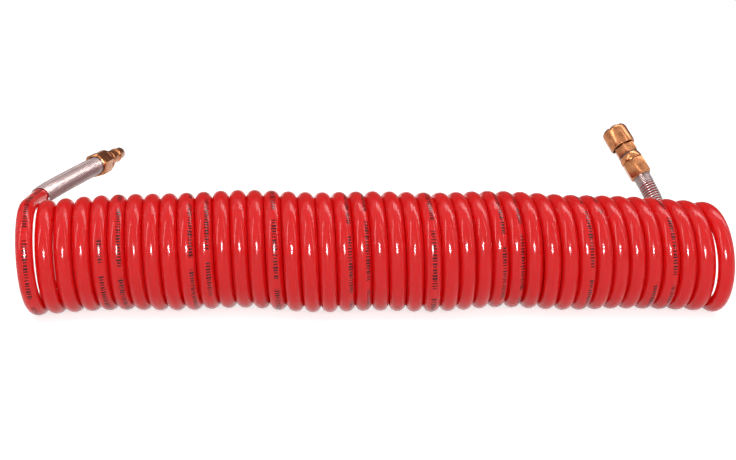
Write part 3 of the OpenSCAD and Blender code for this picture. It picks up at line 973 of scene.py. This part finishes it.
@dataclass
class CouplerEnd:
    """Everything on the coupler end."""

    fitting: Fitting

    def adapter(self) -> Piece:
        """Models and places the adapter between nut and body."""
        outline = stem() + [
            (9.6, NUT_LENGTH), (9.6, 18.5), (8.8, 22.0),               # collar
            (7.6, 22.0), (7.6, 28.0), (6.3, 28.0),                     # spigot
            (6.3, 20.0), (2.9, 20.0),                                  # spring's chamber
        ]
        adapter = Bench.turned("coupler_adapter_turned", outline)
        Bench.soften(adapter, 0.18)
        return self.fitting.put(adapter, Slot.BRASS, Body.HOSE, "coupler_adapter")

    def barrel(self) -> Piece:
        """Models and places the body with its hexagon, its valve seat and its ball holes."""
        body = Bench.six_sided("coupler_body_machined", 17.0, HEX_START, HEX_END)
        trim = [
            (2.0, 22.5), (9.2, 22.5), (9.2, HEX_START), (9.95, 23.5),
            (9.95, 32.6), (9.3, HEX_END), (9.3, 33.5), (2.0, 33.5),
        ]
        Bench.combine(body, Bench.turned("trim", trim), "INTERSECT")
        barrel = [
            (3.0, 24.0), (8.0, 24.0), (8.0, 49.75), (7.4, 49.75),
            (7.4, 50.85), (8.0, 50.85), (8.0, 51.2), (3.0, 51.2),
        ]
        Bench.combine(body, Bench.turned("barrel", barrel), "UNION")
        bore = [
            (1.0, 22.0), (7.65, 22.0), (7.65, 28.05), (6.3, 28.05), (6.3, 29.7),  # adapter
            (5.05, 31.7), (5.05, 33.7), (7.0, 33.7), (7.0, 36.6),                 # valve and seal
            (6.05, 36.6), (6.05, 44.5), (6.5, 44.5), (6.5, 50.6),                 # socket
            (7.2, 51.3), (7.2, 52.0), (1.0, 52.0),                                # mouth
        ]
        Bench.combine(body, Bench.turned("bore", bore), "DIFFERENCE")
        for index in range(BALL_COUNT):
            Bench.combine(body, self.ball_hole(index), "DIFFERENCE")
        Bench.soften(body, 0.12)
        return self.fitting.put(body, Slot.BRASS, Body.HOSE, "coupler_body")

    @staticmethod
    def ball_hole(index: int) -> Piece:
        """Makes the cutter of one ball hole and returns it."""
        outline = [(0.2, 5.4), (1.485, 5.4), (1.65, 6.5), (1.65, 12.0), (0.2, 12.0)]
        hole = Bench.turned("hole", outline, segments=32)
        hole.data.transform(
            Matrix.Translation((0, 0, BALL_HEIGHT * MM))
            @ Matrix.Rotation(math.radians(360 // BALL_COUNT * index), 4, "Z")
            @ Matrix.Rotation(math.radians(90), 4, "Y")
        )
        return hole

    def sleeve(self) -> Piece:
        """Models and places the release sleeve."""
        outline = [
            (10.01, 31.7), (10.75, 31.7), (11.25, 32.2), (11.25, 46.5),             # skirt
            (11.05, 47.7), (10.55, 48.9), (9.85, 49.7), (8.05, 49.7),               # front end
            (8.05, 48.2), (9.35, 48.2), (9.35, 46.5), (8.15, BALL_HEIGHT),          # cone
            (8.05, BALL_HEIGHT), (8.05, 40.7), (10.01, 40.7),                       # land
        ]
        sleeve = Bench.turned("release_sleeve_turned", outline, segments=128)
        Bench.soften(sleeve, 0.15)
        return self.fitting.put(sleeve, Slot.BRASS, Body.SLEEVE, "release_sleeve")

    def coil_spring(
        self,
        node: str,
        radius: float,
        wire: float,
        span: tuple[float, float],
        turns: int,
    ) -> Piece:
        """Models and places a helical spring with closed ends.

        Args:
            node: CAD node that it replaces.
            radius: Radius of the wire's centreline.
            wire: Diameter of the wire.
            span: Heights of its lower and upper end.
            turns: Turns of wire, one closed turn at each end included.

        Returns:
            The spring.
        """
        low, high = span
        steps, sides, closing = 24, 10, 0.9
        count = turns * steps
        path = []
        for i in range(count + 1):
            turn = i / steps
            rise = min(max((turn - 1) / (turns - 2), 0.0), 1.0)
            closed = min(turn, 1.0) * wire + min(max(turn - turns + 1, 0.0), 1.0) * wire
            height = low + wire / 2 + closed * closing
            height += rise * (high - low - wire - 2 * closing * wire)
            angle = 2 * math.pi * turn
            path.append(Vector((radius * math.cos(angle), radius * math.sin(angle), height)) * MM)
        spring = Bench.swept(f"{node}_wire", path, wire / 2 * MM, sides)
        self.fitting.put(spring, Slot.STEEL, Body.HOSE, node)
        place = self.fitting.matrix()
        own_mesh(spring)
        return spring

    def springs(self) -> list[Piece]:
        """Builds the two springs and returns them."""
        return [
            self.coil_spring("sleeve_spring", 8.95, 1.2, (33.05, 40.65), 5),
            self.coil_spring("valve_spring", 4.75, 0.8, (20.05, 27.45), 6),
        ]

    def build(self) -> list[Piece]:
        """Builds the coupler end and returns its pieces."""
        return [
            UnionNut("coupler_nut_hexagon", "coupler_union_nut").build(self.fitting),
            self.adapter(),
            self.barrel(),
            self.sleeve(),
            *self.springs(),
        ]


@dataclass
class KeptNodes:
    """CAD nodes whose shape stays, with better materials."""

    finishes: Finishes
    slots: dict[str, Slot] = field(
        default_factory=lambda: {
            "plug_clamp_ring": Slot.BRASS,
            "coupler_clamp_ring": Slot.BRASS,
            "sealing_washer": Slot.SEAL,
            "nose_seal": Slot.SEAL,
            "valve_poppet": Slot.BRASS,
            "valve_seal": Slot.SEAL,
            "retaining_ring": Slot.STEEL,
            **{f"lock_ball_{k}": Slot.STEEL for k in range(1, BALL_COUNT + 1)},
        }
    )

    def dress(self) -> list[Piece]:
        """Gives each kept node its finish and returns the nodes."""
        nodes = []
        for name, slot in self.slots.items():
            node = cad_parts[name]
            node.data.materials.clear()
            node.data.materials.append(self.finishes.made[slot])
            nodes.append(node)
            LOG.info("kept node %s", name)
        return nodes


# ---------------------------------------------------------------- studio


@dataclass(frozen=True)
class Lamp:
    """Soft rectangular lamp, in metres and watts.

    Attributes:
        name: Its name.
        at: Its place.
        aim: Point that it faces.
        size: Its width and height.
        power: Its power.
        gloss: Whether glossy surfaces mirror it.
        lit: Whether it also lights the colour of a surface, or only mirrors in it.
    """

    name: str
    at: Point
    aim: Point
    size: tuple[float, float]
    power: float
    gloss: bool = True
    lit: bool = True

    def add(self) -> None:
        """Hangs the lamp in the scene."""
        data = bpy.data.lights.new(self.name, "AREA")
        data.shape = "RECTANGLE"
        data.size, data.size_y = self.size
        data.energy = self.power
        lamp = bpy.data.objects.new(self.name, data)
        turn = (Vector(self.aim) - Vector(self.at)).to_track_quat("-Z", "Y").to_matrix().to_4x4()
        lamp.matrix_world = Matrix.Translation(self.at) @ turn
        lamp.visible_glossy = self.gloss
        lamp.visible_diffuse = self.lit
        bpy.context.scene.collection.objects.link(lamp)


CENTRE = (0.0, 0.0, 0.05)
LAMPS = (
    Lamp("ceiling_light", (0.0, -0.1, 1.5), CENTRE, (2.4, 1.6), 10.2, gloss=False),
    Lamp("front_fill", (-0.07, -1.4, 0.5), CENTRE, (1.8, 0.9), 7.2, gloss=False),
    Lamp("soft_box", (0.95, 0.36, 1.3), (0.95, 0.36, 0.0), (2.0, 0.42), 13.0, lit=False),
    Lamp("side_strip", (-1.8, -1.05, 1.6), CENTRE, (0.32, 2.4), 22.0, lit=False),
    Lamp("far_strip", (1.6, -1.1, 1.5), CENTRE, (0.25, 2.0), 8.0, lit=False),
    Lamp("flash", (-0.07, -0.90, 0.33), CENTRE, (0.26, 0.24), 15.0, lit=False),
)


@dataclass
class Studio:
    """Camera, lights, background and floor, in metres.

    Attributes:
        eye: Place of the camera.
        gaze: Direction that it looks in.
        roll: Its turn about that direction, in radians.
        lens: Focal length in millimetres, for a frame 36 mm wide.
        rise: Shift of the picture upwards, as a share of its width.
        surround: How bright the background is where it isn't seen directly.
        floor_size: Side of the floor.
        floor_drop: How far it lies under the hose.
        card_place, card_size, card_colour: Middle, width and height, and glow of the dark card.
    """

    eye: Point = (-0.0678, -0.8855, 0.2488)
    gaze: Point = (0.0639, 0.9720, -0.2262)
    roll: float = 0.0170
    lens: float = 59.3
    rise: float = 0.032
    surround: float = 0.38
    floor_size: float = 12.0
    floor_drop: float = 0.0002
    card_place: Point = (0, 2.4, 1.9)
    card_size: tuple[float, float] = (7.0, 3.0)
    card_colour: Colour = (0.24, 0.17, 0.15)

    def camera(self) -> None:
        """Places the camera."""
        data = bpy.data.cameras.new("camera")
        data.lens = self.lens
        data.sensor_width = 36.0
        data.shift_y = self.rise
        data.clip_start = 0.01
        camera = bpy.data.objects.new("camera", data)
        turn = Vector(self.gaze).to_track_quat("-Z", "Y").to_matrix().to_4x4()
        camera.matrix_world = (
            Matrix.Translation(self.eye) @ turn @ Matrix.Rotation(self.roll, 4, "Z")
        )
        bpy.context.scene.collection.objects.link(camera)
        bpy.context.scene.camera = camera

    def background(self) -> None:
        """Makes the surround white to the camera, metal and glass, and gentle elsewhere."""
        board = Board("studio_world", world=True)
        bpy.context.scene.world = board.material
        strength = board.span(board.seen(), self.surround, 1.0)
        white = (1.0, 1.0, 1.0, 1.0)
        board.surface(board.add("ShaderNodeBackground", Color=white, Strength=strength))

    def floor(self) -> None:
        """Lays the pale floor."""
        Bench.clear()
        bpy.ops.mesh.primitive_plane_add(
            size=self.floor_size, location=(0, 0, -self.floor_drop)
        )
        floor = bpy.context.object
        floor.name = "studio_floor"
        bpy.ops.object.transform_apply(location=True, rotation=True, scale=True)
        floor.data.materials.append(FloorFinish().material())

    def dark_card(self) -> None:
        """Hangs a dark card far behind, which shows only in glosses and gives them depth."""
        Bench.clear()
        bpy.ops.mesh.primitive_plane_add(
            size=1.0, location=self.card_place, rotation=(math.pi / 2, 0, 0)
        )
        card = bpy.context.object
        card.name = "studio_dark_card"
        card.scale = (*self.card_size, 1.0)
        bpy.ops.object.transform_apply(location=True, rotation=True, scale=True)
        board = Board("studio_dark_card")
        board.surface(board.add("ShaderNodeEmission", Color=(*self.card_colour, 1.0)))
        card.data.materials.append(board.material)
        card.visible_camera = False
        card.visible_diffuse = False
        card.visible_shadow = False

    def build(self) -> None:
        """Sets up the whole studio."""
        bpy.context.scene.view_settings.view_transform = "Standard"
        self.camera()
        self.background()
        self.floor()
        self.dark_card()
        for lamp in LAMPS:
            lamp.add()


def main() -> None:
    """Builds the studio and every piece in order, and reports each."""
    logging.basicConfig(level=logging.INFO, format="%(message)s")
    Studio().build()
    finishes = Finishes()
    route = HoseRoute()
    hose_builder = Hose(route)
    hose = hose_builder.build(finishes)
    SpringGuard("plug_guard_wire", "plug_spring_guard", route.plug_tail()).build(finishes)
    coupler_guard = SpringGuard(
        "coupler_guard_wire", "coupler_spring_guard", route.coupler_tail()
    ).build(finishes)
    plug_pieces = PlugEnd(Fitting(route.plug_nut, route.plug_turn, finishes)).build()
    coupler_pieces = CouplerEnd(Fitting(route.coupler_nut, route.coupler_turn, finishes)).build()
    kept = KeptNodes(finishes).dress()
    hose_builder.declare()
    counts = len(plug_pieces), len(coupler_pieces), len(kept)
    LOG.info("%d plug pieces, %d coupler pieces, %d kept nodes", *counts)


if __name__ == "__main__":
    main()
